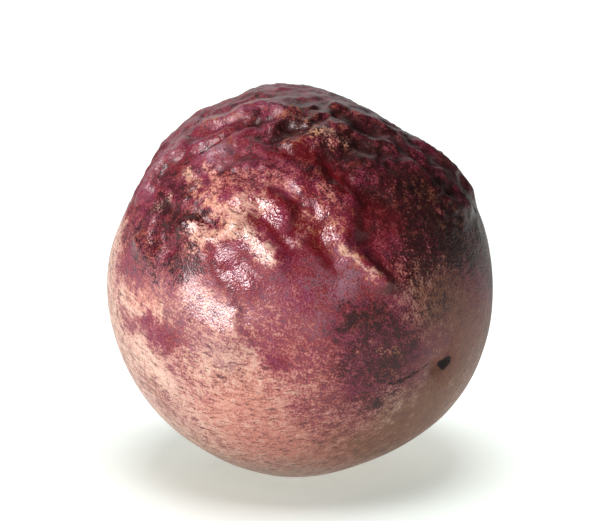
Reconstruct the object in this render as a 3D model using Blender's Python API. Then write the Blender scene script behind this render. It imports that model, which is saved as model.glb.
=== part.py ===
"""A whole ripe passion fruit with a drying, wrinkled crown, made as one closed solid.

Units are metres and +Z is up. The origin lies on the surface that the fruit rests on, under the
middle of its outline. The wrinkled crown is on top, the small dark scar of the tip faces front
right, and the stem scar is opposite it, high on the back left.

Places on the skin are given as (turn, rise) in degrees: turn 0 faces the front, -Y, and grows
towards +X, and rise is the angle above level, seen from the middle of the fruit.
"""

import math

import bmesh
import bpy
from mathutils import Vector

MM = 0.001

# Driving dimensions of the smooth body, before it wrinkles and settles.
HALF_WIDTH = 25.0 * MM
HALF_DEPTH = 24.5 * MM
HALF_HEIGHT = 25.3 * MM
REST_SLICE = 0.65 * MM  # how far the weight flattens the underside, for a flat spot 11 mm across
SNAP = 0.15 * MM  # skin points this near the flat spot's plane are moved onto it
SKIN_SUBDIVISIONS = 5  # 5120 triangles, with edges of about 1.8 mm

# The tip is where the flower's style dried off, and the stem scar is where the stalk was.
TIP = (46, -15)
STEM = (-134, 15)

# Broad, shallow changes of the round body: (what, place, spread in degrees, height in mm).
SWELLINGS = [
    ("sunken right shoulder", (111, 56), 18, -1.25),
    ("knuckle of the right shoulder", (101, 37), 14, 0.6),
    ("peak of the crown", (-144, 74), 16, 1.1),
    ("left shoulder", (-105, 46), 16, 0.7),
    ("flat left shoulder", (-98, 28), 13, -0.7),
    ("full right flank", (82, -28), 22, 0.35),
    ("flat under the right flank", (58, -66), 19, -0.6),
    ("flat under the left flank", (-67, -57), 14, -0.25),
    ("full left flank", (-88, 2), 24, 0.3),
    ("slack front of the crown", (10, 42), 26, -0.5),
]

# Creases and ridges of the crown: (what, points along it, half width in mm, height in mm).
FOLDS = [
    ("left brow", [(-7, 72), (-25, 72), (-44, 75), (-62, 64), (-82, 56)], 1.5, 0.7),
    ("edge of the brow", [(-82, 55), (-68, 51), (-66, 47), (-71, 41), (-68, 35), (-78, 28)], 1.5, 0.7),
    ("second brow", [(-47, 73), (-45, 66), (-50, 59), (-58, 54), (-64, 49)], 1.3, 0.5),
    ("third brow", [(-42, 69), (-47, 60), (-53, 53), (-58, 47)], 1.1, -0.4),
    ("top ridge", [(-43, 75), (-17, 74), (3, 76), (26, 78)], 1.3, 0.5),
    ("second top ridge", [(3, 75), (-7, 71), (-17, 66), (-25, 62)], 1.3, 0.6),
    ("third top ridge", [(22, 74), (10, 70), (2, 68), (-8, 67)], 1.3, 0.4),
    ("hollow of the top", [(-16, 66), (-2, 65), (8, 66)], 1.5, -0.55),
    ("lip of the hollow", [(-16, 60), (-2, 58), (8, 59), (14, 57)], 1.4, 0.5),
    ("crown pad", [(13, 63), (24, 60)], 1.8, 0.6),
    ("upper right lip", [(30, 78), (46, 75), (55, 68), (64, 63), (63, 58)], 1.4, 0.6),
    ("trough under the upper lip", [(30, 72), (44, 66), (56, 59)], 1.6, -0.6),
    ("lower right lip", [(23, 73), (28, 65), (38, 61), (48, 56), (58, 51)], 1.4, 0.6),
    ("trough under the lower lip", [(24, 60), (36, 57), (48, 50)], 1.6, -0.5),
    ("right shoulder fold", [(68, 55), (69, 48), (70, 42), (73, 33), (74, 24)], 1.4, 0.4),
    ("second shoulder fold", [(57, 50), (57, 43), (61, 36), (70, 30), (82, 23)], 1.4, 0.4),
    ("outer shoulder fold", [(84, 56), (84, 46), (88, 36), (92, 24)], 1.4, 0.4),
    ("left hook", [(-69, 29), (-58, 32), (-39, 32), (-28, 29), (-28, 34)], 1.3, -0.45),
    ("left plateau", [(-33, 38), (-27, 36), (-20, 37)], 2.2, 0.4),
    ("left crumple", [(-58, 26), (-50, 27), (-46, 22), (-41, 18)], 1.3, -0.4),
    ("upper pad", [(-17, 36), (-12, 36), (-7, 34)], 1.7, 0.45),
    ("middle band", [(-21, 29), (-15, 27), (-8, 22)], 2.0, 0.5),
    ("big pad", [(-34, 8), (-28, 5), (-22, 2)], 3.0, 0.4),
    ("front pad", [(9, 33), (12, 29)], 2.1, 0.3),
    ("pale front crest", [(12, 24), (15, 20), (19, 17), (22, 13)], 1.4, 0.5),
    ("back ridge", [(-170, 62), (165, 56), (140, 48), (122, 38)], 1.8, 0.6),
    ("back valley", [(-160, 48), (170, 40), (150, 33), (138, 24)], 1.9, -0.6),
    ("back left valley", [(-120, 60), (-130, 48), (-146, 38), (-152, 28)], 1.8, -0.6),
    ("back left ridge", [(-105, 62), (-116, 48), (-112, 34)], 1.6, 0.45),
    ("back middle ridge", [(178, 50), (-176, 38), (170, 27)], 1.5, 0.4),
    ("right side valley", [(98, 42), (106, 30), (100, 16)], 1.6, -0.5),
    ("right back ridge", [(128, 58), (120, 46), (124, 30), (134, 16)], 1.5, 0.45),
]

# Places where the skin falls away on the left of a walker who follows the points:
# (what, points along the edge, steep half width in mm, slow half width in mm, depth in mm).
DROPS = [
    ("long drop", [(-7, 57), (6, 50), (12, 45), (18, 40), (18, 35), (16, 30), (18, 26), (16, 22)],
     1.5, 6.0, 0.95),
    ("drop of the upper pad", [(-13, 40), (-6, 37), (-2, 33), (-4, 29)], 1.0, 2.6, 0.7),
    ("drop of the band", [(-19, 31), (-12, 30), (-7, 27), (-3, 23)], 0.9, 2.2, 0.55),
    ("front drop", [(1, 31), (3, 26), (5, 21), (8, 16)], 1.1, 3.4, 0.7),
    ("drop beside the big pad", [(-27, 18), (-22, 12), (-19, 6), (-21, 1)], 1.0, 2.4, 0.5),
    ("drop of the hook", [(-42, 27), (-37, 22), (-33, 19), (-29, 17)], 1.0, 2.4, 0.5),
    ("drop of the front crest", [(16, 26), (20, 21), (24, 16), (26, 11)], 1.1, 3.6, 0.7),
    ("brow drop", [(-10, 73), (-30, 71), (-46, 69), (-62, 63), (-80, 55)], 0.8, 2.6, 0.5),
    ("shoulder drop", [(34, 61), (46, 56), (57, 48), (60, 38), (66, 30)], 1.0, 4.0, 0.5),
]

# Round hollows at the two ends: (what, place, half width in mm, height in mm).
END_MARKS = [
    ("dimple round the tip scar", TIP, 2.6, -0.6),
    ("hollow round the stem scar", STEM, 4.0, -0.9),
    ("stem scar", STEM, 1.6, 0.5),
]

RIND_COLOUR = (0.30, 0.065, 0.080, 1.0)
RIND_ROUGHNESS = 0.42


def clear_scene():
    """Removes every object that the new file came with."""
    for obj in list(bpy.data.objects):
        bpy.data.objects.remove(obj)


def new_collection(name):
    collection = bpy.data.collections.new(name)
    bpy.context.scene.collection.children.link(collection)
    return collection


def new_material(name, colour, roughness, metallic=0.0):
    """A plain opaque finish."""
    material = bpy.data.materials.new(name)
    material.use_nodes = True
    shader = material.node_tree.nodes["Principled BSDF"]
    shader.inputs["Base Color"].default_value = colour
    shader.inputs["Roughness"].default_value = roughness
    shader.inputs["Metallic"].default_value = metallic
    material.diffuse_color = colour
    return material


def direction(place):
    """The unit vector from the middle of the fruit to a (turn, rise) place."""
    turn, rise = (math.radians(angle) for angle in place)
    return Vector((math.sin(turn) * math.cos(rise), -math.cos(turn) * math.cos(rise), math.sin(rise)))


def nearest_on_line(toward, line):
    """The smallest angle from a direction to a line over the skin, and whether it is on its left."""
    best = math.inf
    on_left = False
    for start, end in zip(line, line[1:]):
        along = end - start
        share = (toward - start).dot(along) / along.length_squared
        angle = toward.angle(start + along * min(1.0, max(0.0, share)))
        if angle < best:
            best = angle
            on_left = toward.dot(start.cross(along)) > 0
    return best, on_left


def falloff(distance, width):
    """1 at the middle of a feature, fading smoothly to 0 past its width."""
    return math.exp(-((distance / width) ** 2))


def skin_angle(length):
    """The angle that a length in mm covers on the skin, seen from the middle of the fruit."""
    return length * MM / HALF_WIDTH


def skin_shape():
    """Returns the function that moves a direction out to the skin, with all its features."""
    size = Vector((HALF_WIDTH, HALF_DEPTH, HALF_HEIGHT))
    swellings = [(direction(place), math.radians(spread), height * MM)
                 for _, place, spread, height in SWELLINGS]
    folds = [([direction(place) for place in line], skin_angle(width), height * MM)
             for _, line, width, height in FOLDS]
    drops = [([direction(place) for place in line], skin_angle(steep), skin_angle(slow), depth * MM)
             for _, line, steep, slow, depth in DROPS]
    marks = [(direction(place), skin_angle(width), height * MM)
             for _, place, width, height in END_MARKS]

    def skin_point(toward):
        height = 0.0
        for middle, spread, rise in swellings + marks:
            height += rise * falloff(toward.angle(middle), spread)
        for line, width, rise in folds:
            distance, _ = nearest_on_line(toward, line)
            height += rise * falloff(distance, width)
        for line, steep, slow, depth in drops:
            distance, on_left = nearest_on_line(toward, line)
            if on_left:
                height -= depth * (1 - falloff(distance, steep)) * falloff(distance, slow)
        return toward * size + toward * height

    return skin_point


def add_fruit(collection, material):
    """Builds the rind: a round body pushed out to its skin, then flattened where it rests."""
    skin_point = skin_shape()
    shape = bmesh.new()
    bmesh.ops.create_icosphere(shape, subdivisions=SKIN_SUBDIVISIONS, radius=1.0)
    for vertex in shape.verts:
        vertex.co = skin_point(vertex.co.normalized())
    flatten_underside(shape)
    stand_on_origin(shape)
    mesh = bpy.data.meshes.new("passion_fruit")
    shape.to_mesh(mesh)
    shape.free()
    mesh.materials.append(material)
    mesh.shade_smooth()
    mesh.set_sharp_from_angle(angle=math.radians(50))
    fruit = bpy.data.objects.new("passion_fruit", mesh)
    collection.objects.link(fruit)
    return fruit


def flatten_underside(shape):
    """Slices off the lowest part of the body and closes it with one flat face."""
    floor = min(vertex.co.z for vertex in shape.verts) + REST_SLICE
    everything = shape.verts[:] + shape.edges[:] + shape.faces[:]
    bmesh.ops.bisect_plane(shape, geom=everything, dist=SNAP, plane_co=(0, 0, floor),
                           plane_no=(0, 0, -1), clear_outer=True)
    rim = [edge for edge in shape.edges if edge.is_boundary]
    for vertex in {vertex for edge in rim for vertex in edge.verts}:
        vertex.co.z = floor
    bmesh.ops.holes_fill(shape, edges=rim)
    bmesh.ops.recalc_face_normals(shape, faces=shape.faces)


def stand_on_origin(shape):
    """Moves the body so that its outline is centred over the origin and it rests at height 0."""
    lows = [min(vertex.co[axis] for vertex in shape.verts) for axis in range(3)]
    highs = [max(vertex.co[axis] for vertex in shape.verts) for axis in range(3)]
    shift = Vector((-(lows[0] + highs[0]) / 2, -(lows[1] + highs[1]) / 2, -lows[2]))
    bmesh.ops.translate(shape, verts=shape.verts, vec=shift)


def main():
    clear_scene()
    fruit_parts = new_collection("passion_fruit")
    rind = new_material("rind", RIND_COLOUR, RIND_ROUGHNESS)
    add_fruit(fruit_parts, rind)


main()
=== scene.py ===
# %% [markdown]
# # A passion fruit that has started to dry
# A passion fruit grows as one closed rind round its pulp, so there is one piece to make here. Its
# lower half is still tight and smooth, and its crown has sunk into soft leathery wrinkles. The
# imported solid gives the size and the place. This lesson makes the skin over it: first the shape,
# fold by fold, then the pigments, then a waxy finish, and last a small studio to look at it in.

# %% Load the fixed frame and keep its box
import math

import bmesh
import bpy
import numpy as np
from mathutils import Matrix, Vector, noise
from mathutils.bvhtree import BVHTree


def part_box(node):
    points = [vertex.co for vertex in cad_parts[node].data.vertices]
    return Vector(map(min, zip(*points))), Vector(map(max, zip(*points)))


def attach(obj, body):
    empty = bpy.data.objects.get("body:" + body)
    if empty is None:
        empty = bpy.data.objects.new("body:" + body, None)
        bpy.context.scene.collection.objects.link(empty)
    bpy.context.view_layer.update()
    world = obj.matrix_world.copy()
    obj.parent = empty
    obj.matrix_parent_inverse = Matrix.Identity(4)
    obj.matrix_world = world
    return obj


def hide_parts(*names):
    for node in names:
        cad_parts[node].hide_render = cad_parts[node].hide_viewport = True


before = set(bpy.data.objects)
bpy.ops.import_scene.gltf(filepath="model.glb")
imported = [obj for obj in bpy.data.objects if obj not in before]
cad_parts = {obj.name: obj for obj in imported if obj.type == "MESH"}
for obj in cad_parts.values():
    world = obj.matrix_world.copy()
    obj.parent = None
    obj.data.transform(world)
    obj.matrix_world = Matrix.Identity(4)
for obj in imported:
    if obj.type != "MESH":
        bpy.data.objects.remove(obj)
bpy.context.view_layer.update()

MM = 0.001
low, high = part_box("passion_fruit")
box_size = high - low
print("the packed fruit measures", [round(side / MM, 2) for side in box_size], "mm")

# %% [markdown]
# ## Where things are on a round fruit
# A place on the skin is easiest to give as two angles, the way a globe does it. Here they are
# (turn, rise) in degrees, seen from the middle of the fruit: turn 0 faces the front, -Y, and grows
# towards +X, and rise is the angle above level. Lengths over the skin are given in millimetres.

# %% Angles to directions
def direction(place):
    """The unit vector from the middle of the fruit to a (turn, rise) place."""
    turn, rise = (math.radians(angle) for angle in place)
    return np.array([math.sin(turn) * math.cos(rise), -math.cos(turn) * math.cos(rise), math.sin(rise)])


TIP = (46, -15)  # the small dark scar where the flower's style dried off
STEM = (-134, 15)  # the corky scar where the stalk was
RADIUS = 25.0  # mm, the usual distance from the middle to the skin
print("the tip scar faces", direction(TIP).round(2))

# %% [markdown]
# ## A fine, even skin to shape
# The wrinkles are about a millimetre wide, so the mesh needs points every third of a millimetre.
# A UV sphere crowds its points at the poles, and an icosphere can't be made this fine. A cube whose
# faces are subdivided and then blown up to a ball has almost equal squares everywhere. The tangent
# below spaces them by equal angles, so that squares near the cube's corners don't shrink.

# %% Make the ball of directions
def fine_ball(levels):
    """A mesh of unit directions: a cube with each face cut into 2**levels squares a side."""
    cage = bmesh.new()
    bmesh.ops.create_cube(cage, size=2.0)
    mesh = bpy.data.meshes.new("skin_cage")
    cage.to_mesh(mesh)
    cage.free()
    holder = bpy.data.objects.new("skin_cage", mesh)
    bpy.context.scene.collection.objects.link(holder)
    subdivide = holder.modifiers.new("even squares", "SUBSURF")
    subdivide.subdivision_type = "SIMPLE"
    subdivide.levels = levels
    fine = bpy.data.meshes.new_from_object(holder.evaluated_get(bpy.context.evaluated_depsgraph_get()))
    bpy.data.objects.remove(holder)
    return fine


def read_points(mesh):
    """The mesh's points as rows of x, y and z."""
    points = np.empty(len(mesh.vertices) * 3, np.float32)
    mesh.vertices.foreach_get("co", points)
    return points.reshape(-1, 3).astype(float)


BALL_LEVELS = 7  # 128 squares along each side of the cube
skin = fine_ball(BALL_LEVELS)
toward = np.tan(read_points(skin) * math.pi / 4)
toward /= np.linalg.norm(toward, axis=1, keepdims=True)
print("the skin has", len(toward), "points and", len(skin.polygons), "squares")

# %% [markdown]
# ## Wandering lines
# Folds drawn as clean curves look like folded paper. On a real fruit every line wanders, so before
# a distance is measured, each direction is nudged by smooth noise. The same nudge is used for the
# pigments, which gives every patch a ragged, grown edge. The noise comes from a fixed formula, so
# the fruit is the same each time.

# %% Smooth noise over the skin
def lumps(size, seed):
    """Smooth noise from about -1 to 1 at each skin point, with lumps of this size in mm."""
    shift = Vector((seed * 13.7, seed * 7.3, seed * 3.1))
    scale = RADIUS / size
    return np.array([noise.noise(Vector(point) * scale + shift) for point in toward])


def wander(size, far, seed):
    """A small sideways nudge of each direction: lumps of this size move it this far, both in mm."""
    return np.stack([lumps(size, seed + axis) for axis in range(3)], axis=1) * far / RADIUS


def unit(vectors):
    """The same directions, each made one unit long."""
    return vectors / np.linalg.norm(vectors, axis=1, keepdims=True)


# How far the folds, the patches of pigment and the small marks stray from the drawn lines
fold_toward = unit(toward + wander(6.0, 1.0, 1) + wander(2.0, 0.35, 4))
patch_toward = unit(toward + wander(6.0, 0.9, 7) + wander(2.2, 1.0, 10) + wander(0.9, 0.7, 13))
mark_toward = unit(toward + wander(0.8, 0.35, 16))
print("the folds wander by up to", round(float(np.abs(fold_toward - toward).max()) * RADIUS, 2), "mm")

# %% [markdown]
# ## Measuring how far a point is from a line
# Each fold is drawn with a few places that a smooth curve passes through. `line_distance` finds, for
# every skin point, the distance to the nearest piece of that curve in millimetres, which side of it
# the point is on, and how far along it that is. The share along the curve lets a fold fade out at
# its ends.

# %% Curves over the skin
def smooth_line(places, steps=6):
    """Directions along a smooth curve through the places."""
    knots = [direction(place) for place in places]
    if len(knots) < 3:
        return unit(np.array(knots))
    padded = [2 * knots[0] - knots[1]] + knots + [2 * knots[-1] - knots[-2]]
    points = []
    for a, b, c, d in zip(padded, padded[1:], padded[2:], padded[3:]):
        for step in range(steps):
            t = step / steps
            points.append(0.5 * (2 * b + (c - a) * t + (2 * a - 5 * b + 4 * c - d) * t ** 2
                                 + (3 * b - a - 3 * c + d) * t ** 3))
    points.append(knots[-1])
    return unit(np.array(points))


def line_distance(around, places):
    """For every direction: distance in mm to the curve, side (1 left, -1 right), share along it."""
    line = smooth_line(places)
    best = np.full(len(around), np.inf)
    side = np.ones(len(around))
    share = np.zeros(len(around))
    pieces = len(line) - 1
    for piece, (start, end) in enumerate(zip(line, line[1:])):
        along = end - start
        t = np.clip((around - start) @ along / (along @ along), 0, 1)
        away = np.linalg.norm(around - start - t[:, None] * along, axis=1)
        nearer = away < best
        best = np.where(nearer, away, best)
        side = np.where(nearer, np.sign(around @ np.cross(start, along)), side)
        share = np.where(nearer, (piece + t) / pieces, share)
    return best * RADIUS, side, share


def spot_distance(around, place):
    """The distance in mm from every direction to one place."""
    return np.linalg.norm(around - direction(place), axis=1) * RADIUS


front_to_tip = spot_distance(direction((0, 0))[None], TIP)[0]
print("the centre of the front is", front_to_tip.round(1), "mm from the tip")

# %% [markdown]
# ## The body under the wrinkles
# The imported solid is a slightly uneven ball. The same broad swellings are repeated here, because
# this script can't read that file: (what, place, spread in degrees, height in mm). The ball's half
# sizes come from the frame's box.

# %% Broad swellings
SWELLINGS = [
    ("sunken right shoulder", (111, 56), 18, -1.25),
    ("knuckle of the right shoulder", (101, 37), 14, 0.6),
    ("peak of the crown", (-144, 74), 16, 1.1),
    ("left shoulder", (-105, 46), 16, 0.7),
    ("flat left shoulder", (-98, 28), 13, -0.7),
    ("full right flank", (82, -28), 22, 0.35),
    ("flat under the right flank", (58, -66), 19, -0.6),
    ("flat under the left flank", (-67, -57), 14, -0.25),
    ("full left flank", (-88, 2), 24, 0.3),
    ("slack front of the crown", (10, 42), 26, -0.5),
]
BODY_SHARE = np.array([0.4965, 0.5003, 0.5036])  # half sizes of the ball, as shares of the box
body = BODY_SHARE * np.array(box_size)
height = np.zeros(len(toward))
for _, place, spread, lift in SWELLINGS:
    angle = np.arccos(np.clip(toward @ direction(place), -1, 1))
    height += lift * np.exp(-((angle / math.radians(spread)) ** 2))
print("the swellings range from", height.min().round(2), "to", height.max().round(2), "mm")

# %% [markdown]
# ## The folds of the crown
# As the rind dries it grows too large for what is inside, and it buckles. The slopes matter more
# than the lines: a fold here has a gentle side that leans to the light and a steep side that drops
# into shade. A fold could be pulled up with a sculpting brush, but then it couldn't be moved again.
# Here each one is a line of text: its points, its half widths on the left and on the right of a
# walker who follows them, and a height in mm, below 0 for a valley. Valleys are sharper at the
# bottom than ridges are at the top.

# %% Draw the folds
FOLDS = [
    # the left brow, which runs over the top and down the left
    ("left brow", [(-7, 72), (-25, 72), (-44, 75), (-62, 64), (-82, 56)], (0.6, 2.2), 0.75),
    ("brow edge", [(-82, 55), (-68, 51), (-66, 47), (-71, 41), (-68, 35), (-78, 28)], (0.5, 2.4), 0.8),
    ("crease above the brow", [(-40, 80), (-69, 77), (-86, 63), (-108, 53)], (0.7, 0.7), -0.4),
    ("second brow", [(-47, 73), (-45, 66), (-50, 59), (-58, 54), (-64, 49)], (0.6, 1.8), 0.6),
    ("third brow", [(-42, 69), (-47, 60), (-53, 53), (-58, 47)], (0.7, 0.7), -0.55),
    ("fourth brow", [(-34, 66), (-36, 60), (-42, 54), (-50, 50)], (0.6, 1.4), 0.4),
    ("crease across the crown", [(-30, 62), (-22, 58), (-14, 60), (-6, 62)], (0.6, 0.6), -0.4),
    ("second crease", [(-36, 50), (-28, 53), (-18, 52), (-10, 54)], (0.6, 0.6), -0.35),
    ("third crease", [(-34, 46), (-28, 49), (-20, 50)], (0.5, 1.2), 0.3),
    ("lilac ridge", [(-56, 45), (-50, 48), (-43, 51), (-36, 52)], (1.2, 1.2), 0.3),
    ("crease under the lilac ridge", [(-50, 42), (-40, 45), (-30, 47)], (0.9, 0.9), -0.3),
    # the top
    ("top ridge", [(-43, 75), (-17, 74), (3, 76), (26, 78)], (1.5, 0.7), 0.5),
    ("second top ridge", [(3, 75), (-7, 71), (-17, 66), (-25, 62)], (0.7, 1.6), 0.65),
    ("third top ridge", [(22, 74), (10, 70), (2, 68), (-8, 67)], (0.7, 1.4), 0.45),
    ("crease on the top", [(30, 70), (18, 69), (6, 71), (-4, 74)], (0.6, 0.6), -0.4),
    ("hollow of the top", [(-16, 66), (-2, 65), (8, 66)], (1.6, 1.0), -0.55),
    ("lip of the hollow", [(-16, 60), (-2, 58), (8, 59), (14, 57)], (1.6, 0.8), 0.5),
    ("crown pad", [(13, 63), (24, 60)], (1.8, 1.8), 0.6),
    ("crown crease", [(-14, 55), (-2, 55), (8, 55)], (1.0, 1.0), -0.35),
    # the right shoulder
    ("upper right lip", [(30, 78), (46, 75), (55, 68), (64, 63), (63, 58)], (1.5, 0.8), 0.55),
    ("trough under the lip", [(30, 72), (44, 66), (56, 59)], (1.5, 1.5), -0.6),
    ("lower right lip", [(23, 73), (28, 65), (38, 61), (48, 56), (58, 51)], (1.4, 0.7), 0.55),
    ("shade under the lip", [(24, 60), (36, 57), (48, 50)], (1.6, 1.6), -0.55),
    ("right shoulder fold", [(68, 55), (69, 48), (70, 42), (73, 33), (74, 24)], (0.9, 1.4), 0.4),
    ("second shoulder fold", [(57, 50), (57, 43), (61, 36), (70, 30), (82, 23)], (0.9, 1.5), 0.4),
    ("shoulder pad", [(30, 52), (38, 44)], (1.8, 1.8), 0.35),
    ("outer shoulder fold", [(84, 56), (84, 46), (88, 36), (92, 24)], (0.9, 1.3), 0.4),
    # the centre
    ("centre column", [(3, 37), (2, 33), (0, 28), (2, 22)], (1.1, 1.2), 0.35),
    ("under the band", [(-20, 21), (-14, 18), (-8, 14)], (1.6, 1.6), -0.12),
    # the left
    ("hook", [(-69, 29), (-58, 32), (-48, 32), (-39, 32), (-33, 30), (-28, 29), (-28, 34)],
     (0.9, 0.9), -0.45),
    ("peach ridge", [(-36, 23), (-30, 25), (-24, 28), (-19, 32)], (1.1, 1.1), 0.35),
    ("left plateau", [(-33, 38), (-27, 36), (-20, 37)], (2.2, 2.2), 0.3),
    ("left crumple", [(-58, 26), (-50, 27), (-46, 22), (-41, 18)], (1.0, 1.0), -0.5),
    ("second left crumple", [(-66, 24), (-58, 21), (-50, 22)], (0.9, 0.9), -0.35),
    ("left side pad", [(-56, 20), (-50, 17)], (1.8, 1.8), 0.3),
    # the back, out of the light of the front but made the same way
    ("back ridge", [(-170, 62), (165, 56), (140, 48), (122, 38)], (1.3, 2.2), 0.6),
    ("back valley", [(-160, 48), (170, 40), (150, 33), (138, 24)], (1.5, 2.2), -0.6),
    ("back left valley", [(-120, 60), (-130, 48), (-146, 38), (-152, 28)], (1.5, 2.0), -0.6),
    ("back left ridge", [(-105, 62), (-116, 48), (-112, 34)], (1.2, 2.0), 0.45),
    ("back middle ridge", [(178, 50), (-176, 38), (170, 27)], (1.2, 1.9), 0.4),
    ("right side valley", [(98, 42), (106, 30), (100, 16)], (1.6, 1.6), -0.5),
    ("right back ridge", [(128, 58), (120, 46), (124, 30), (134, 16)], (1.2, 1.9), 0.45),
]


def fold_profile(distance, width, lift):
    """1 on the line of the fold and 0 far from it: a rounded ridge, or a sharper valley."""
    sharpness = 2.0 if lift > 0 else 1.4
    return np.exp(-((distance / width) ** sharpness))


FADE_SHARE = 0.18  # the share of a fold's length in which it fades out, at each end


def end_fade(share):
    """1 along a fold, going down to 0 at both of its ends."""
    ends = np.clip(np.minimum(share, 1 - share) / FADE_SHARE, 0, 1)
    return ends * ends * (3 - 2 * ends)


folds = np.zeros(len(toward))
for _, places, (left, right), lift in FOLDS:
    distance, side, share = line_distance(fold_toward, places)
    width = np.where(side > 0, left, right)
    fade = end_fade(share) if len(places) > 2 else 1.0
    folds += lift * fold_profile(distance, width, lift) * fade
height += folds
print("the folds range from", folds.min().round(2), "to", folds.max().round(2), "mm")

# %% [markdown]
# ## Drops
# The strongest marks on the crown aren't ridges. They are drops: the skin goes over an edge, falls
# steeply, and comes back up slowly. Each drop is drawn along its edge, and the skin to the left of a
# walker on that edge sinks: (what, places, steep half width, slow half width, depth), in mm.

# %% Sink the skin beside each drop
DROPS = [
    ("long drop", [(-7, 57), (6, 50), (12, 45), (18, 40), (18, 35), (16, 30), (18, 26), (16, 22)],
     1.5, 6.0, 0.95),
    ("drop of the upper pad", [(-13, 40), (-6, 37), (-2, 33), (-4, 29)], 1.0, 2.6, 0.7),
    ("drop of the band", [(-19, 31), (-12, 30), (-7, 27), (-3, 23)], 0.9, 2.2, 0.55),
    ("front drop", [(1, 31), (3, 26), (5, 21), (8, 16)], 1.1, 3.4, 0.7),
    ("drop beside the big pad", [(-27, 18), (-22, 12), (-19, 6), (-21, 1)], 0.8, 2.2, 0.5),
    ("drop of the hook", [(-42, 27), (-37, 22), (-33, 19), (-29, 17)], 1.0, 2.4, 0.5),
    ("drop of the front crest", [(16, 26), (20, 21), (24, 16), (26, 11)], 1.1, 3.6, 0.7),
    ("brow drop", [(-10, 73), (-30, 71), (-46, 69), (-62, 63), (-80, 55)], 0.6, 2.6, 0.5),
    ("brow edge drop", [(-82, 55), (-68, 51), (-66, 47), (-71, 41), (-68, 35), (-78, 28)], 0.5, 3.0, 0.4),
    ("shoulder drop", [(34, 61), (46, 56), (57, 48), (60, 38), (66, 30)], 1.0, 4.0, 0.5),
]
drops = np.zeros(len(toward))
for _, places, steep, slow, depth in DROPS:
    distance, side, share = line_distance(fold_toward, places)
    fall = (1 - np.exp(-((distance / steep) ** 2))) * np.exp(-((distance / slow) ** 2))
    drops -= np.where(side > 0, depth * fall * end_fade(share), 0)
height += drops
print("the drops go down to", drops.min().round(2), "mm")

# %% [markdown]
# ## Flat facets
# The skin between folds is tight, so it lies in small, almost flat facets, and each one is light or
# dark by the way that it faces. Drawing them as such is easier than getting there with ridges: a
# facet says where it lies, how wide it is, which way it faces as (turn, rise), and how far it is
# lifted. Inside its outline the ball's own curve is mostly taken out, and a tilt is put in. A long
# facet would climb too far at its end, so its tilt along its own length is reduced.

# %% Tilt the facets
FACETS = [
    ("big pad", [(-34, 8), (-28, 5), (-22, 2)], 3.2, (-22, 19), 0.4),
    ("slanting pad", [(-25, 21), (-21, 17), (-17, 13)], 1.7, (-22, 22), 0.3),
    ("pad in the hook", [(-38, 28), (-33, 26), (-30, 24)], 1.7, (-22, 23), 0.55),
    ("upper pad", [(-21, 37), (-13, 36), (-7, 34)], 2.0, (-22, 24), 0.6),
    ("middle band", [(-21, 29), (-15, 26), (-9, 21)], 2.2, (-21, 22), 0.6),
    ("front pad", [(9, 33), (12, 29)], 2.1, (0, 29), 0.3),
    ("crown plateau", [(4, 43), (10, 43), (15, 39)], 2.6, (14, 44), 0.3),
    ("pale front crest", [(12, 25), (15, 21), (19, 18), (23, 14)], 1.3, (-14, 22), 0.5),
    ("upper left chip", [(-27, 42), (-26, 39), (-27, 36)], 1.0, (-22, 30), 0.15),
    ("upper middle chip", [(-22, 41), (-19, 41), (-15, 41)], 1.0, (-20, 31), 0.15),
    ("left chip", [(-59, 20), (-53, 21)], 1.6, (-42, 21), 0.1),
    ("violet flat", [(9, 20), (11, 15)], 2.2, (6, 13), -0.1),
]
FLATNESS = 0.75  # the share of the ball's own curve that a facet takes out
facets = np.zeros(len(toward))
shine = np.zeros(len(toward))
for _, places, width, faces, lift in FACETS:
    distance, _, _ = line_distance(fold_toward, places)
    inside = np.exp(-((distance / width) ** 2.6))
    middle_of_facet = unit(sum(direction(place) for place in places)[None])[0]
    facing = direction(faces)
    tilt = middle_of_facet - facing / (facing @ middle_of_facet)
    run = direction(places[-1]) - direction(places[0])
    length = np.linalg.norm(run)
    run /= length
    tilt -= (tilt @ run) * run * (1 - min(1.0, 2.0 * width / RADIUS / length))
    curve = 1 - fold_toward @ middle_of_facet
    facets += inside * (lift + RADIUS * ((fold_toward - middle_of_facet) @ tilt + FLATNESS * curve))
    shine = np.maximum(shine, inside)
height += facets
print("the facets range from", facets.min().round(2), "to", facets.max().round(2), "mm")

# %% [markdown]
# ## Small wrinkles between the folds
# Between the folds the skin is puckered all over. Those wrinkles are too many to draw, so they are
# ridged noise: the noise's absolute value has sharp lines where it crosses zero, which read as fine
# creases. They are strongest on the crown and fade out down the sides, where the skin is tight.

# %% Pucker the crown
def smoothstep(value, start, end):
    """A soft step from 0 to 1 as the value goes from start to end."""
    t = np.clip((value - start) / (end - start), 0, 1)
    return t * t * (3 - 2 * t)


rise_angle = np.degrees(np.arcsin(toward[:, 2]))
turn_angle = np.degrees(np.arctan2(toward[:, 0], -toward[:, 1]))
front = np.cos(np.radians(turn_angle + 10))
slack = smoothstep(rise_angle + 6 * lumps(12.0, 20) - 8 * front, 6, 42)
PUCKER = [(4.5, 0.26, 21), (2.8, 0.16, 25), (1.6, 0.18, 22)]  # size and height in mm, and a seed
pucker = slack * sum(tall * (0.5 - 2 * np.abs(lumps(size, seed))) for size, tall, seed in PUCKER)
swells = 0.12 * lumps(11.0, 23) + 0.05 * lumps(4.0, 24)
height += pucker + swells
print("the pucker is", pucker.min().round(2), "to", pucker.max().round(2), "mm high")
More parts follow.
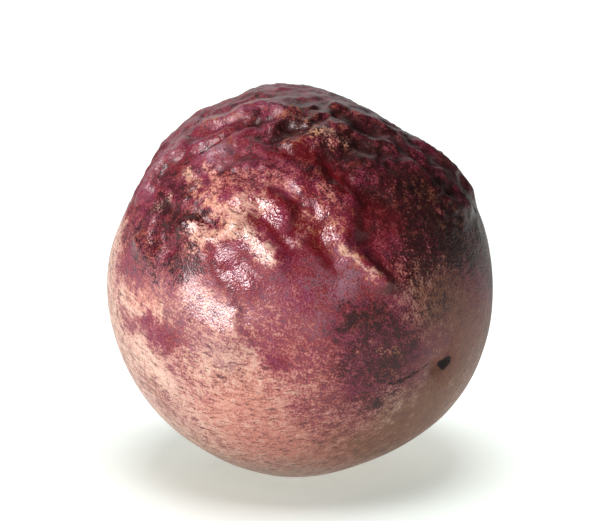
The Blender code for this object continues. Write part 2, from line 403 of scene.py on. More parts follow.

# %% [markdown]
# ## The two ends
# The tip has a small dark pit in a shallow dimple; its raised rim isn't made here. The stem end has a
# corky disc in a hollow. Both are round marks: (what, place, half width in mm, height in mm).

# %% Dimples and scars
END_MARKS = [
    ("dimple round the tip scar", TIP, 2.8, -0.5),
    ("pit of the tip scar", TIP, 1.1, -0.55),
    ("hollow round the stem scar", STEM, 4.0, -0.9),
    ("stem scar", STEM, 1.6, 0.5),
]
RING_RADIUS = 1.7  # mm, of the groove round the stem scar
RING_HALF_WIDTH = 0.35
RING_DEPTH = 0.25
end_toward = 0.25 * patch_toward + 0.75 * toward  # a quarter of the nudge leaves them almost round
for _, place, width, lift in END_MARKS:
    height += lift * np.exp(-((spot_distance(end_toward, place) / width) ** 2))
from_the_ring = spot_distance(toward, STEM) - RING_RADIUS
height -= RING_DEPTH * np.exp(-((from_the_ring / RING_HALF_WIDTH) ** 2))
print("with the end marks, the heights go from", height.min().round(2), "to", height.max().round(2), "mm")

# %% [markdown]
# ## From heights to a skin
# So far there is only a height for each direction. Now every point moves out along its direction,
# to the ball and then on by its height. A ripe fruit is soft enough to flatten a little under its own
# weight, so the lowest part is cut level at a fixed depth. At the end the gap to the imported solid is
# measured: the wrinkles here are finer than that solid's, but the body has to be the same.

# %% Move the directions out to the skin, and set the fruit on its flat spot
REST_SLICE = 0.65  # mm that the weight flattens the underside
points = toward * body + toward * height[:, None] * MM
lowest, highest = points.min(axis=0), points.max(axis=0)
floor_level = lowest[2] + REST_SLICE * MM
points[:, 2] = np.maximum(points[:, 2], floor_level)
middle = np.array([(lowest[0] + highest[0]) / 2, (lowest[1] + highest[1]) / 2, floor_level])
points -= middle
skin.vertices.foreach_set("co", points.ravel().astype(np.float32))
skin.shade_smooth()
skin.update()
fruit = bpy.data.objects.new("passion_fruit_skin", skin)
bpy.context.scene.collection.objects.link(fruit)
print("the skin measures", (np.ptp(points, axis=0) / MM).round(2), "mm")

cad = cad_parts["passion_fruit"].data
tree = BVHTree.FromPolygons([v.co for v in cad.vertices], [p.vertices for p in cad.polygons])
gaps = np.array([tree.find_nearest(Vector(point))[3] for point in points[::7]]) / MM
print("the skin is at most", gaps.max().round(2), "mm and usually", np.median(gaps).round(2),
      "mm from the packed solid")

# %% [markdown]
# ## Pigment, painted in patches
# The rind itself is cream, tan or salmon, and red and purple pigment grows over it in grains,
# thickest on the sunny crown. Each pigment gets a general rule for the whole fruit and a list of
# patches over it: (what, places, half width in mm, amount from 0 to 1). A patch pulls the amount
# towards its own, as one more layer of paint would. The results are saved on the mesh, one number
# for each point, and the material turns them into grains and streaks.
# Some layers carry painted light as well: the wine and the deep red also stand for shade in valleys and
# drops, and the lilac and the pale pads for sheen and highlights.

# %% A helper that paints patches
def painted(general, patches):
    """The general rule, pulled towards each patch's amount inside that patch."""
    amount = np.broadcast_to(general, len(toward)).astype(float)
    for _, places, width, target in patches:
        if len(places) == 1:
            distance = spot_distance(patch_toward, places[0])
        else:
            distance, _, _ = line_distance(patch_toward, places)
        amount = amount + (target - amount) * np.exp(-((distance / width) ** 2.4))
    return np.clip(amount, 0, 1)


def save_on_mesh(name, values):
    """Keeps one number for each point in a named layer, which the material can read."""
    layer = skin.attributes.new(name, "FLOAT", "POINT")
    layer.data.foreach_set("value", values.astype(np.float32))
    print(f"{name}: mean {values.mean():.2f}, from {values.min():.2f} to {values.max():.2f}")


# %% Ridges are painted paler, as sheen, and the valleys darker, as shade
relief = folds + 0.5 * drops + pucker
ridge_sheen_and_crust = smoothstep(relief, 0.12, 0.6) * slack
valley_shade = smoothstep(-relief, 0.12, 0.6) * slack
print("ridges cover", ridge_sheen_and_crust.mean().round(2), "and valleys", valley_shade.mean().round(2), "of the skin")

# %% Red, the main flush: how much of the skin its grains cover
FLUSH = [
    ("crown", [(-40, 62), (0, 64), (40, 60)], 12.0, 0.92),
    ("right crown", [(32, 45), (50, 30)], 10.0, 0.97),
    ("centre", [(-8, 35), (5, 30)], 7.0, 0.90),
    ("left cheek", [(-46, 12), (-38, 0)], 6.0, 0.54),
    ("left edge", [(-80, 15), (-76, -5), (-66, -22)], 4.5, 0.18),
    ("lower left cream", [(-56, -12), (-47, -17)], 2.8, 0.06),
    ("cream field", [(-26, -14), (-29, -20), (-34, -30)], 4.0, 0.12),
    ("bright cream", [(-32, -15), (-27, -20), (-24, -25)], 2.0, 0.02),
    ("rosy patch", [(-43, -12), (-35, -17), (-33, -22)], 1.7, 0.42),
    ("rosy streaks", [(-62, -24), (-50, -31), (-38, -39)], 1.9, 0.32),
    ("orange patch on the left", [(-64, 4), (-53, 2), (-47, 2)], 2.2, 0.20),
    ("red patch on the left", [(-51, -3), (-44, -4), (-37, -5)], 1.3, 0.74),
    ("lilac speckle", [(-30, -4), (-21, -6)], 2.4, 0.50),
    ("middle", [(-10, 6), (-2, 1)], 4.6, 0.58),
    ("salmon field", [(-18, -16), (-12, -26), (4, -36)], 6.0, 0.20),
    ("red field", [(4, -12), (8, -18), (4, -23)], 3.4, 0.44),
    ("red foot", [(8, -30), (18, -30)], 3.0, 0.46),
    ("small fleck", [(-9, -7), (-5, -8)], 0.45, 0.98),
    ("front blotch", [(19, 2), (25, -2), (30, -8)], 5.0, 0.97),
    ("foot of the blotch", [(20, -17), (25, -20), (30, -20)], 3.6, 0.88),
    ("right side", [(42, 8), (54, -2), (62, -14)], 6.0, 0.32),
    ("lower right side", [(34, -29), (44, -32), (58, -26)], 5.5, 0.20),
    ("bottom", [(-24, -50), (0, -50), (16, -48)], 5.0, 0.14),
    ("left plateau", [(-33, 36), (-27, 34), (-22, 34)], 1.4, 0.26),
    ("cream streaks on the left crown", [(-54, 44), (-47, 39), (-42, 36)], 0.9, 0.28),
    ("second cream streak", [(-44, 46), (-37, 42), (-32, 40)], 0.8, 0.34),
    ("orange field", [(-26, 44), (-16, 45), (-8, 44)], 2.2, 0.48),
    ("orange spots", [(8, 43), (12, 39)], 1.5, 0.42),
    ("purple field on the left", [(-60, 27), (-50, 24), (-42, 20)], 3.2, 0.90),
    ("peach ridge", [(-34, 24), (-27, 27), (-19, 32)], 1.3, 0.16),
    ("yellow knot", [(-62, 30), (-56, 33)], 1.0, 0.30),
    ("front pad", [(8, 32), (12, 29)], 2.0, 0.58),
    ("pale front crest", [(13, 25), (18, 20), (22, 16)], 0.8, 0.28),
    ("centre column", [(2, 34), (0, 28)], 1.1, 0.55),
    ("crown pad", [(13, 63), (24, 60)], 1.7, 0.40),
    # The pads that face the key light, the middle band, the upper pad, the pad in the hook and the big
    # pad, are kept pale with little red: a painted highlight.
    ("middle band", [(-20, 28), (-14, 25), (-9, 21)], 1.5, 0.20),
    ("upper pad", [(-20, 37), (-12, 36)], 1.5, 0.30),
    ("pad in the hook", [(-38, 28), (-31, 25)], 1.3, 0.25),
    ("column between the pads", [(-4, 36), (0, 32), (-1, 27)], 0.9, 0.55),
    ("big pad", [(-32, 7), (-23, 4)], 2.8, 0.36),
    ("round the stem", [STEM], 4.5, 0.30),
    ("pale cheek at the back", [(165, -4), (150, -16)], 5.0, 0.30),
    ("flushed cheek at the back", [(-160, -20), (-140, -30)], 5.0, 0.80),
]
edge_of_the_flush = rise_angle + 22 * lumps(13.0, 30) + 10 * lumps(4.5, 35)
general_flush = 0.20 + 0.68 * smoothstep(edge_of_the_flush, -42, 18)
save_on_mesh("flush", painted(general_flush, FLUSH))

# %% Wine purple over the red, thickest on the crown, and painted shade in the hollows and valleys
# Some of these patches are painted shade: the hollow of the top, the left valleys, beside the pad in the
# hook, the rim of the hook, the drop beside the big pad and the skin under the brow are darkened where
# shade falls in them.
WINE_AND_VALLEY_SHADE = [
    ("top", [(-20, 73), (10, 73), (50, 67)], 5.5, 0.72),
    ("right crown", [(25, 54), (44, 44), (60, 34)], 8.0, 0.72),
    ("centre", [(-8, 34), (6, 30)], 5.0, 0.10),
    ("right upper flank", [(44, 20), (58, 25), (74, 22)], 5.2, 0.90),
    ("right edge", [(72, 14), (82, 6)], 4.0, 0.60),
    ("hollow of the top", [(-12, 63), (-2, 62), (6, 63)], 1.8, 0.95),
    ("front blotch", [(18, 2), (24, 0), (29, -4)], 3.8, 0.72),
    ("lower blotch", [(17, -10), (26, -12)], 3.2, 0.62),
    ("foot of the blotch", [(20, -20), (27, -21)], 2.6, 0.45),
    ("long left valley", [(-66, 28), (-54, 29), (-46, 28)], 2.2, 0.55),
    ("purple field on the left", [(-60, 25), (-50, 22), (-41, 17)], 2.8, 0.52),
    ("beside the pad in the hook", [(-43, 27), (-38, 22), (-34, 18)], 1.3, 0.60),
    ("above the plateau", [(-48, 42), (-38, 47), (-28, 50)], 1.6, 0.40),
    ("rim of the hook", [(-45, 31), (-38, 32), (-31, 31)], 0.8, 0.60),
    ("lower left valley", [(-44, 23), (-38, 19), (-33, 15)], 1.6, 0.55),
    ("left cheek", [(-64, 22), (-52, 16)], 3.4, 0.46),
    ("drop beside the big pad", [(-27, 18), (-21, 12), (-19, 7)], 1.0, 0.25),
    ("left crown", [(-64, 44), (-52, 50), (-40, 57)], 4.5, 0.26),
    ("under the brow", [(-66, 40), (-58, 36), (-50, 34)], 2.0, 0.60),
    ("brown clouds by the tip", [(34, 3), (40, 4), (50, 7)], 3.0, 0.36),
    ("right rim", [(76, -6), (84, -14)], 3.0, 0.25),
]
wine_and_valley_shade = painted(0.34 * smoothstep(rise_angle + 6 * lumps(8.0, 31), 0, 60), WINE_AND_VALLEY_SHADE)
# The valleys get more wine, as painted shade, and the ridges get less, as painted sheen.
save_on_mesh("wine_and_valley_shade", np.clip(wine_and_valley_shade + 0.45 * valley_shade - 0.3 * ridge_sheen_and_crust, 0, 1))

# %% Tan, the bare rind on the shaded side
TAN = [
    ("right side", [(50, 6), (58, -8), (48, -30)], 9.0, 1.0),
    ("right rim", [(78, 0), (88, -12)], 9.0, 1.0),
    ("left edge", [(-82, 10), (-72, -15)], 3.6, 0.40),
    ("right shoulder", [(60, 50), (74, 40)], 5.0, 0.6),
    ("back", [(120, -10), (150, -20), (-170, -14)], 10.0, 0.7),
    ("stem scar", [STEM], 2.2, 1.0),
]
save_on_mesh("tan", painted(0.2 + 0.5 * lumps(9.0, 33), TAN))

# %% Salmon, the bare rind with a warm blush in it
SALMON = [
    ("bottom", [(-12, -36), (8, -38), (20, -44)], 7.0, 0.90),
    ("salmon field", [(-18, -25), (0, -22)], 6.0, 0.75),
    ("orange field", [(-34, 42), (-20, 46), (-8, 46), (8, 44)], 5.0, 0.90),
    ("peach ridge", [(-34, 24), (-27, 27), (-19, 32)], 1.6, 0.50),
    ("middle", [(-4, -6), (8, -12)], 5.0, 0.80),
    ("orange patch on the left", [(-56, 8), (-50, 4)], 2.6, 0.70),
]
save_on_mesh("salmon", painted(0.25 + 0.2 * lumps(6.0, 34), SALMON))

# %% Bloom and sheen: a lilac haze, partly wax bloom and partly painted sheen on smooth faces, grazing edges and ridges
BLOOM_AND_SHEEN = [
    ("round the big pad", [(-34, 8), (-26, 6), (-18, 8)], 4.2, 0.36),
    ("middle", [(-8, 13), (4, 10), (14, 12)], 4.5, 0.22),
    ("violet flat", [(9, 20), (12, 15)], 2.2, 0.60),
    ("left cheek", [(-62, 21), (-54, 12), (-40, 10)], 3.2, 0.36),
    ("lilac ridge", [(-46, 50), (-38, 51)], 1.8, 0.50),
    ("left brow", [(-84, 54), (-74, 44), (-66, 36)], 2.6, 0.30),
    ("upper left brow", [(-74, 62), (-50, 70), (-24, 72)], 2.4, 0.25),
    ("left valley side", [(-62, 30), (-56, 24)], 2.0, 0.26),
    ("lilac speckle", [(-32, -5), (-24, -8)], 2.2, 0.35),
    ("tip of the blotch", [(4, 4), (10, 2)], 2.0, 0.35),
]
# Ridges get a little more of it, as painted sheen.
save_on_mesh("bloom_and_sheen", np.clip(painted(0.03, BLOOM_AND_SHEEN) + 0.10 * ridge_sheen_and_crust, 0, 1))

# %% Straw, small yellow crusts where the skin has dried
STRAW_PATCHES = [
    ("left plateau", [(-34, 37), (-28, 35)], 2.2, 0.55),
    ("cream streaks on the left crown", [(-54, 44), (-47, 39), (-42, 36)], 1.3, 0.56),
    ("peach ridge", [(-36, 23), (-27, 27), (-19, 32)], 1.4, 0.50),
    ("orange field", [(-24, 45), (-10, 46), (4, 45)], 3.0, 0.20),
    ("crown pad", [(14, 63), (24, 60)], 1.6, 0.60),
    ("front pad", [(6, 33), (12, 29)], 2.4, 0.50),
    ("pale front crest", [(14, 24), (18, 20), (22, 16)], 1.0, 0.85),
    ("olive line", [(17, -5), (22, -6), (28, -7)], 0.7, 0.80),
    ("second olive line", [(28, -15), (31, -16)], 0.7, 0.60),
    ("left crumple", [(-66, 24), (-56, 20), (-48, 14)], 2.4, 0.24),
    ("shoulder", [(50, 34), (62, 24)], 3.0, 0.30),
    ("stem scar", [STEM], 1.7, 0.9),
]
on_top = smoothstep(rise_angle, 45, 62)
# On the top the ridges get straw too: dried crust, with painted sheen in it.
save_on_mesh("straw", np.clip(painted(0.05, STRAW_PATCHES) + 0.35 * ridge_sheen_and_crust * on_top, 0, 1))

# %% Deep red: painted shade in the drops and the crown crease, and a red ring beside the long drop
DEEP_RED_AND_DROP_SHADE = [
    ("long drop", [(0, 59), (12, 51), (18, 45), (22, 40), (22, 34), (20, 27)], 1.2, 1.0),
    ("drop of the upper pad", [(-12, 40), (-5, 37), (-1, 33), (-4, 28)], 0.75, 0.95),
    ("drop of the band", [(-17, 31), (-10, 30), (-5, 26), (0, 24)], 0.8, 0.80),
    ("front drop", [(3, 31), (5, 25), (8, 19)], 1.2, 1.0),
    ("drop of the front crest", [(19, 24), (24, 18), (27, 12)], 1.2, 0.50),
    ("drop beside the big pad", [(-26, 16), (-20, 10)], 0.8, 0.60),
    ("crown crease", [(-14, 55), (-2, 56), (8, 56)], 1.0, 0.70),
    ("red ring", [(22, 38), (32, 34), (30, 26), (22, 26)], 1.6, 0.45),
]
save_on_mesh("deep_red_and_drop_shade", painted(0.0, DEEP_RED_AND_DROP_SHADE))

# %% [markdown]
# ## Tight skin shines
# Where the skin is pulled flat it is smoother, and it mirrors the light more clearly. The outlines of
# the facets are already known, so they are saved too, and the material lowers its roughness there.

# %% Save where the facets are
save_on_mesh("shine", shine)

# %% [markdown]
# ## Scars
# The dried tip, a scratch beside it and the corky ring of the stem are dead skin, dark and dull. Most
# of what shows of them is colour, so they are painted like the pigments. They are only a millimetre
# or two across, and the nudge of the patches would carry them off their places, so they use a
# smaller one.

# %% Mark the scars
SCARS = [
    ("pit of the tip", [(49.3, -15.2), (50.2, -14.2)], 0.82, 0.96),
    ("halo under the tip", [(48, -16.5), (50, -14)], 1.6, 0.34),
    ("streak up from the tip", [(50.5, -12), (51, -8)], 0.5, 0.34),
    ("scratch", [(27, -17), (34, -16), (43, -12.5)], 0.20, 0.72),
    ("cross on the scratch", [(31, -15), (32, -18)], 0.3, 0.50),
    ("ring of the stem scar", [(-134, 11), (-130, 15), (-134, 19), (-138, 15), (-134, 11)], 0.4, 0.7),
]
scar = np.zeros(len(toward))
for _, places, width, amount in SCARS:
    distance, _, _ = line_distance(mark_toward, places)
    scar = np.maximum(scar, amount * np.exp(-((distance / width) ** 2)))
save_on_mesh("scar", scar)

# %% [markdown]
# ## The grain of the rind
# Pores and streaks are drawn out along the way that the fruit grew, from its stem to its tip. Noise
# that is measured straight in space can't follow that. So every point gets a coordinate of its own:
# two numbers that go round the fruit and one that goes along it, all in mm. Noise that is stretched
# along the third number makes streaks that run from end to end.

# %% A coordinate that runs from the tip to the stem
tip = direction(TIP)
along = toward @ tip
across = toward - along[:, None] * tip
across /= np.maximum(np.linalg.norm(across, axis=1, keepdims=True), 1e-6)
side_x = unit(np.cross(tip, [0, 0, 1])[None])[0]
side_y = np.cross(side_x, tip)
from_tip = np.arccos(np.clip(along, -1, 1))
grain = np.stack([across @ side_x, across @ side_y, from_tip], axis=1) * RADIUS
layer = skin.attributes.new("grain", "FLOAT_VECTOR", "POINT")
layer.data.foreach_set("vector", grain.ravel().astype(np.float32))
print("the grain runs", grain[:, 2].max().round(1), "mm from the tip to the far side")

# %% [markdown]
# ## The rind's material
# Seen close, the colour of the rind isn't an even blend. It is grains of pigment that lie thinly or
# thickly over the pale skin. An image could hold them, but it would fix the grain at one size. Here
# the material works them out: a painted amount says how much of the skin a pigment covers, a noise
# says in which order the skin fills up, and a soft step between the two gives the grains.
#
# Each helper below adds one node and returns its output, so the graph can be written like the
# formulas that it stands for.

# %% A new material, and helpers that add nodes to it
rind = bpy.data.materials.new("rind")
rind.use_nodes = True
rind_nodes = rind.node_tree.nodes
shader = rind_nodes["Principled BSDF"]


def node(kind, **settings):
    """A new node with these settings."""
    made = rind_nodes.new(kind)
    for name, value in settings.items():
        setattr(made, name, value)
    return made


def put(value, socket):
    """Sets a socket to a number or colour, or links it to another socket."""
    if isinstance(value, bpy.types.NodeSocket):
        rind.node_tree.links.new(value, socket)
    else:
        socket.default_value = value


def amount_of(name):
    """The painted amount that was saved on the mesh under this name."""
    return node("ShaderNodeAttribute", attribute_type="GEOMETRY", attribute_name=name).outputs["Fac"]


def work_out(operation, *values):
    """One step of arithmetic."""
    made = node("ShaderNodeMath", operation=operation)
    for value, socket in zip(values, made.inputs):
        put(value, socket)
    return made.outputs["Value"]


def times(value, share):
    """The value, multiplied."""
    return work_out("MULTIPLY", value, share)


def ramp(value, start, end, to_low=0.0, to_high=1.0):
    """A soft step of the value from start to end."""
    made = node("ShaderNodeMapRange", interpolation_type="SMOOTHSTEP")
    for name, setting in (("Value", value), ("From Min", start), ("From Max", end),
                          ("To Min", to_low), ("To Max", to_high)):
        put(setting, made.inputs[name])
    return made.outputs["Result"]


def blend(amount, under, over):
    """One colour laid over another, by this amount."""
    made = node("ShaderNodeMix", data_type="RGBA")
    put(amount, made.inputs["Factor"])
    put(under, made.inputs["A"])
    put(over, made.inputs["B"])
    return made.outputs["Result"]


print("a new material has", len(rind_nodes), "nodes")

# %% [markdown]
# ## Noises of several sizes
# Pigment comes in grains a quarter of a millimetre across, they gather into mottles, and mottles
# gather into clouds. One noise with many octaves would give all of that at fixed strengths. Separate
# noises, one for each size, can be mixed anew for each pigment.

# %% Grains, dots, mottles, clouds and streaks
def grains(where, size, detail=2.0, roughness=0.6):
    """Noise from 0 to 1 with lumps of this size, in the units of the coordinate."""
    texture = node("ShaderNodeTexNoise", noise_dimensions="3D")
    put(where, texture.inputs["Vector"])
    texture.inputs["Scale"].default_value = 1.0 / size
    texture.inputs["Detail"].default_value = detail
    texture.inputs["Roughness"].default_value = roughness
    return texture.outputs["Fac"]


STREAK_STRETCH = 0.3  # noise along the grain is stretched to a bit over three times its width
place = node("ShaderNodeTexCoord").outputs["Object"]
grain_node = node("ShaderNodeAttribute", attribute_type="GEOMETRY", attribute_name="grain")
stretch = node("ShaderNodeMapping")
put(grain_node.outputs["Vector"], stretch.inputs["Vector"])
stretch.inputs["Scale"].default_value = (1.0, 1.0, STREAK_STRETCH)
streak_place = stretch.outputs["Vector"]

speckle = grains(place, 0.24 * MM, 1.0, 0.5)
fine = grains(place, 0.15 * MM, 1.0, 0.5)
dots = grains(place, 0.42 * MM, 0.0, 0.5)
pore_dots = grains(streak_place, 0.34, 0.0, 0.5)
mottle = grains(place, 1.1 * MM, 3.0, 0.6)
cloud = grains(place, 3.6 * MM, 3.0, 0.65)
streak = grains(streak_place, 0.5, 2.0, 0.6)
print("the noises took", len(rind_nodes), "nodes")

# %% [markdown]
# ## Which skin fills up first
# An order is a mix of noises, stretched so that it fills the range from 0 to 1. Where the amount of a
# pigment is above the order, there is pigment. The softness says how blurred the grains' edges are.

# %% The order of each pigment
def spread_out(*shares):
    """Mixes noises by their shares, round a middle of 0.5."""
    total = 0.5
    for noise_value, share in shares:
        total = work_out("ADD", total, times(work_out("SUBTRACT", noise_value, 0.5), share))
    return total


def covered(amount, order, softness):
    """How much a pigment covers: its amount, broken into grains by an order."""
    return ramp(work_out("SUBTRACT", amount, order), -softness, softness)


red_order = spread_out((speckle, 1.7), (mottle, 1.3), (streak, 1.0))
dusk_order = spread_out((speckle, 1.5), (mottle, 1.4), (streak, 0.7), (cloud, 0.8))
ground_order = spread_out((speckle, 0.8), (mottle, 1.2), (streak, 0.8), (cloud, 0.8))
print("the orders took the graph to", len(rind_nodes), "nodes")

# %% [markdown]
# ## The colours
# Colours are easiest to choose as red, green and blue from 0 to 255, but light is added up in linear
# values, so a helper turns one into the other. None of the colours here is pure: the crimson has a
# little blue in it, and the wine is almost black.

# %% The palette
def colour(red, green, blue):
    """A linear colour from the 0 to 255 values of a colour chart."""
    def linear(value):
        share = value / 255
        return share / 12.92 if share <= 0.04045 else ((share + 0.055) / 1.055) ** 2.4
    return (linear(red), linear(green), linear(blue), 1.0)


CREAM = colour(188, 156, 140)
SALMON_RIND = colour(174, 112, 98)
TAN_RIND = colour(120, 86, 58)
CRIMSON = colour(96, 10, 26)
MAGENTA = colour(98, 24, 50)
ROSE = colour(134, 58, 64)
WINE = colour(40, 12, 14)
DEEP_RED = colour(84, 3, 12)
SCAR = colour(24, 10, 10)
LILAC = colour(142, 106, 118)
PINK = colour(176, 96, 104)
STRAW = colour(172, 124, 84)
print("the cream is", [round(channel, 3) for channel in CREAM[:3]], "in linear light")

# %% [markdown]
# ## Bare rind and red pigment
# The bare rind is cream, with salmon and tan clouds. Over it lies a smooth rose tint, which is the
# pigment too fine to see, and over that the red grains. The red is crimson in some clouds and
# magenta in others, with finer grains of pink and wine in it. Without the tint under them the grains
# look like pepper on paper.

# %% Lay the red over the rind
flush = amount_of("flush")
ground = blend(covered(amount_of("salmon"), ground_order, 0.45), CREAM, SALMON_RIND)
ground = blend(covered(amount_of("tan"), ground_order, 0.4), ground, TAN_RIND)
red = blend(ramp(cloud, 0.42, 0.62), CRIMSON, MAGENTA)
red = blend(ramp(fine, 0.52, 0.68, 0.0, 0.32), red, PINK)
red = blend(ramp(fine, 0.46, 0.32, 0.0, 0.6), red, WINE)
thick = work_out("SUBTRACT", times(flush, 1.75), 0.40)
under = work_out("ADD", flush, times(work_out("SUBTRACT", 0.5, red_order), 0.25))
skin_colour = blend(ramp(under, 0.0, 0.75, 0.05, 0.92), ground, ROSE)
skin_colour = blend(covered(thick, red_order, 0.45), skin_colour, red)
print("rind and red took the graph to", len(rind_nodes), "nodes")

# %% [markdown]
# ## What lies over the red
# A lilac haze lies on the cheeks: partly wax bloom, partly painted sheen. Wine purple lies on the shaded
# crown and, as painted shade, in the valleys and hollows, and the drops are painted a clear deep red as
# their shade. Then come the small things: straw crusts on dry edges, pores drawn out along the grain,
# and a net of thin veins where a noise crosses its middle value. The order matters, as it does with
# glazes: each one dims the ones under it.

# %% Lay the lilac bloom and painted sheen, the wine and painted shade, and the deep red painted shade
BLOOM_AND_SHEEN_STRENGTH = 0.7
bloom_and_sheen_cover = times(covered(amount_of("bloom_and_sheen"), dusk_order, 0.4), BLOOM_AND_SHEEN_STRENGTH)
skin_colour = blend(bloom_and_sheen_cover, skin_colour, LILAC)
# Wine purple, thickest on the crown, with painted shade in the valleys and hollows.
skin_colour = blend(covered(amount_of("wine_and_valley_shade"), dusk_order, 0.35), skin_colour, WINE)
# The drops and the crown crease are painted deep red, as their shade.
deep_red_and_drop_shade_cover = times(amount_of("deep_red_and_drop_shade"), ramp(speckle, 0.3, 0.6, 1.0, 0.8))
skin_colour = blend(deep_red_and_drop_shade_cover, skin_colour, DEEP_RED)
print("bloom, dusk and deep red took the graph to", len(rind_nodes), "nodes")

# %% Add crusts, pores and veins
CRUST_STRENGTH = 0.8
PORE_STRENGTH = 0.6
VEIN_STRENGTH = 0.55
VEIN_MESH = 0.9  # mm, the usual size of a gap in the net of veins
crust = times(amount_of("straw"), ramp(spread_out((speckle, 1.0), (mottle, 1.5)), 0.5, 0.8))
skin_colour = blend(times(crust, CRUST_STRENGTH), skin_colour, STRAW)
pores = times(ramp(pore_dots, 0.33, 0.27), ramp(flush, 0.7, 0.35))
skin_colour = blend(times(pores, PORE_STRENGTH), skin_colour, WINE)
crack = work_out("ABSOLUTE", work_out("SUBTRACT", grains(place, VEIN_MESH * MM, 2.0, 0.5), 0.5))
veins = times(ramp(crack, 0.022, 0.004), ramp(cloud, 0.44, 0.58))
skin_colour = blend(times(veins, VEIN_STRENGTH), skin_colour, CRIMSON)
print("crusts, pores and veins took the graph to", len(rind_nodes), "nodes")

# %% Put the scars on top, with ragged edges
ragged = times(work_out("SUBTRACT", speckle, 0.5), 0.5)
scar_cover = ramp(work_out("ADD", amount_of("scar"), ragged), 0.28, 0.55)
skin_colour = blend(scar_cover, skin_colour, SCAR)
put(skin_colour, shader.inputs["Base Color"])
print("the colour is done, with", len(rind_nodes), "nodes")

# %% [markdown]
# ## Wax and fine relief
# The skin has a thin natural wax, so it shines softly. The shine is clear on tight skin, dull on the
# tan side and gone on the scars. A coat layer would put a second, sharper shine on top, which reads
# as varnish, so the roughness of the one layer is varied instead. Relief below a tenth of a
# millimetre is too fine for the mesh. It comes from the same noises as the grains, as a bump, which
# breaks the highlights into small glints.

# %% Gloss
USUAL_DULLNESS = (0.30, 0.44)  # roughness in the grains and between them
DULLER_ON_TAN = 0.16
DULLER_ON_SCARS = 0.4
CLEARER_ON_FACETS = 0.14
dullness = ramp(speckle, 0.3, 0.7, *USUAL_DULLNESS)
dullness = work_out("ADD", dullness, times(amount_of("tan"), DULLER_ON_TAN))
dullness = work_out("ADD", dullness, times(amount_of("scar"), DULLER_ON_SCARS))
dullness = work_out("SUBTRACT", dullness, times(amount_of("shine"), CLEARER_ON_FACETS))
put(dullness, shader.inputs["Roughness"])
shader.inputs["Specular IOR Level"].default_value = 0.40
shader.inputs["Specular Tint"].default_value = (1.0, 0.82, 0.84, 1.0)
print("the roughness starts from", USUAL_DULLNESS)

# %% Fine relief
BUMP_DEPTH = 0.08  # mm
bump = node("ShaderNodeBump")
bump.inputs["Strength"].default_value = 0.7
bump.inputs["Distance"].default_value = BUMP_DEPTH * MM
put(spread_out((speckle, 1.0), (dots, 0.8), (mottle, 1.4)), bump.inputs["Height"])
put(bump.outputs["Normal"], shader.inputs["Normal"])
print("the bump is", BUMP_DEPTH, "mm deep at full strength")

# %% Dress the skin and hand it over
skin.materials.append(rind)
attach(fruit, "root")
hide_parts("passion_fruit")
print("the fruit has", len(fruit.material_slots), "material, with", len(rind_nodes), "nodes")

# %% [markdown]
# ## A pale table
# The fruit stands on plain pale paper. The paper glows a little, with a hint of green, so that it
# stays almost white and the shadow keeps a grey-green tone next to so much red. The same could be had
# with a brighter light, but that would also wash out the fruit.

# %% Floor
FLOOR_HALF_SIZE = 6.0  # m, far enough for its edge to stay out of sight
floor_mesh = bpy.data.meshes.new("floor")
shape = bmesh.new()
bmesh.ops.create_grid(shape, x_segments=2, y_segments=2, size=FLOOR_HALF_SIZE)
shape.to_mesh(floor_mesh)
shape.free()
floor = bpy.data.objects.new("floor", floor_mesh)
bpy.context.scene.collection.objects.link(floor)
paper = bpy.data.materials.new("pale_paper")
paper.use_nodes = True
PAPER_LOOK = {
    "Base Color": (0.84, 0.88, 0.86, 1),
    "Roughness": 0.9,
    "Specular IOR Level": 0.1,
    "Emission Color": (0.91, 1.0, 0.92, 1),
    "Emission Strength": 0.45,
}
for name, value in PAPER_LOOK.items():
    paper.node_tree.nodes["Principled BSDF"].inputs[name].default_value = value
floor_mesh.materials.append(paper)
print("the floor is", 2 * FLOOR_HALF_SIZE, "m across")

# %% [markdown]
# ## Soft studio light
# A softbox on the left, a little above level, models the folds: it is small enough for the ridges to
# throw shade and large enough for broad highlights. A second box nearly overhead lights the table
# and makes the soft shadow under the fruit. Each of the two would spoil the other's work, so light
# linking keeps the first to the fruit and the second to the floor, as flags and snoots do in a studio.
# A weak wide box behind and a pale room fill the shade.

# %% Lights
centre = Vector((0, 0, box_size.z / 2))


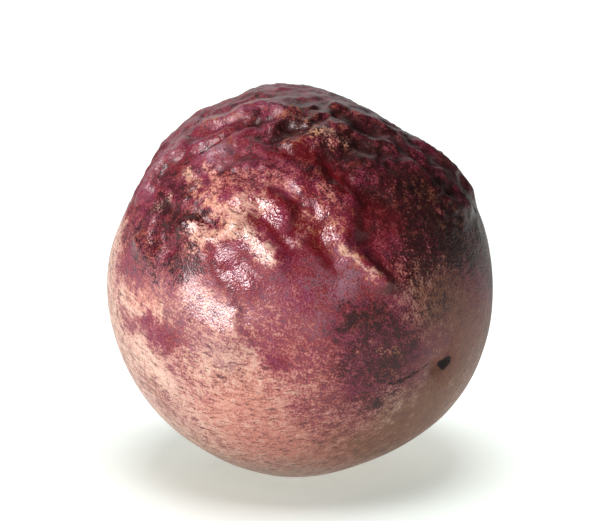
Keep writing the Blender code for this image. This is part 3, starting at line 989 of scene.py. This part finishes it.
def softbox(name, stands, distance, width, power):
    """A square area light that stands at a (turn, rise) place and looks at the fruit's centre."""
    lamp = bpy.data.lights.new(name, "AREA")
    lamp.shape = "SQUARE"
    lamp.size = width
    lamp.energy = power
    holder = bpy.data.objects.new(name, lamp)
    bpy.context.scene.collection.objects.link(holder)
    away = Vector(direction(stands))
    holder.location = centre + away * distance
    holder.rotation_euler = away.to_track_quat("Z", "Y").to_euler()
    return holder


def lit_only(light, piece):
    """Makes a light fall on one piece alone."""
    receivers = bpy.data.collections.new(light.name + "_receivers")
    receivers.objects.link(piece)
    light.light_linking.receiver_collection = receivers


# Each light: where it stands, its distance and its width in m, and its power in W.
key = softbox("key_softbox", (-46, 29), 1.2, 0.36, 30.0)
lit_only(key, fruit)
table = softbox("table_softbox", (-10, 84), 1.2, 0.7, 11.5)
lit_only(table, floor)
softbox("back_softbox", (185, 30), 1.3, 1.2, 5.0)
world = bpy.data.worlds.new("pale_room")
world.use_nodes = True
world.node_tree.nodes["Background"].inputs["Color"].default_value = (1, 1, 1, 1)
world.node_tree.nodes["Background"].inputs["Strength"].default_value = 0.05
bpy.context.scene.world = world
bpy.context.scene.view_settings.view_transform = "Standard"
print("the lights are", [lamp.name for lamp in bpy.data.lights])

# %% [markdown]
# ## The camera
# The camera stands in front and looks slightly down, as an eye does at a fruit on a table. A long
# lens from further away keeps the round outline true. It aims a little above the middle, which
# leaves room for the shadow below.

# %% Camera
CAMERA_RISE = 14  # degrees above level
CAMERA_DISTANCE = 0.40  # m
FOCAL_LENGTH = 183.4  # mm, on a sensor 36 mm wide
AIM_ABOVE_CENTRE = 2.6  # mm
lens = bpy.data.cameras.new("camera")
lens.sensor_width = 36
lens.lens = FOCAL_LENGTH
camera = bpy.data.objects.new("camera", lens)
bpy.context.scene.collection.objects.link(camera)
toward_camera = Vector(direction((0, CAMERA_RISE)))
camera_up = Vector(direction((180, 90 - CAMERA_RISE)))
aim = centre + camera_up * AIM_ABOVE_CENTRE * MM
camera.location = aim + toward_camera * CAMERA_DISTANCE
camera.rotation_euler = toward_camera.to_track_quat("Z", "Y").to_euler()
bpy.context.scene.camera = camera
print("the camera stands", CAMERA_DISTANCE, "m away and", CAMERA_RISE, "degrees up")
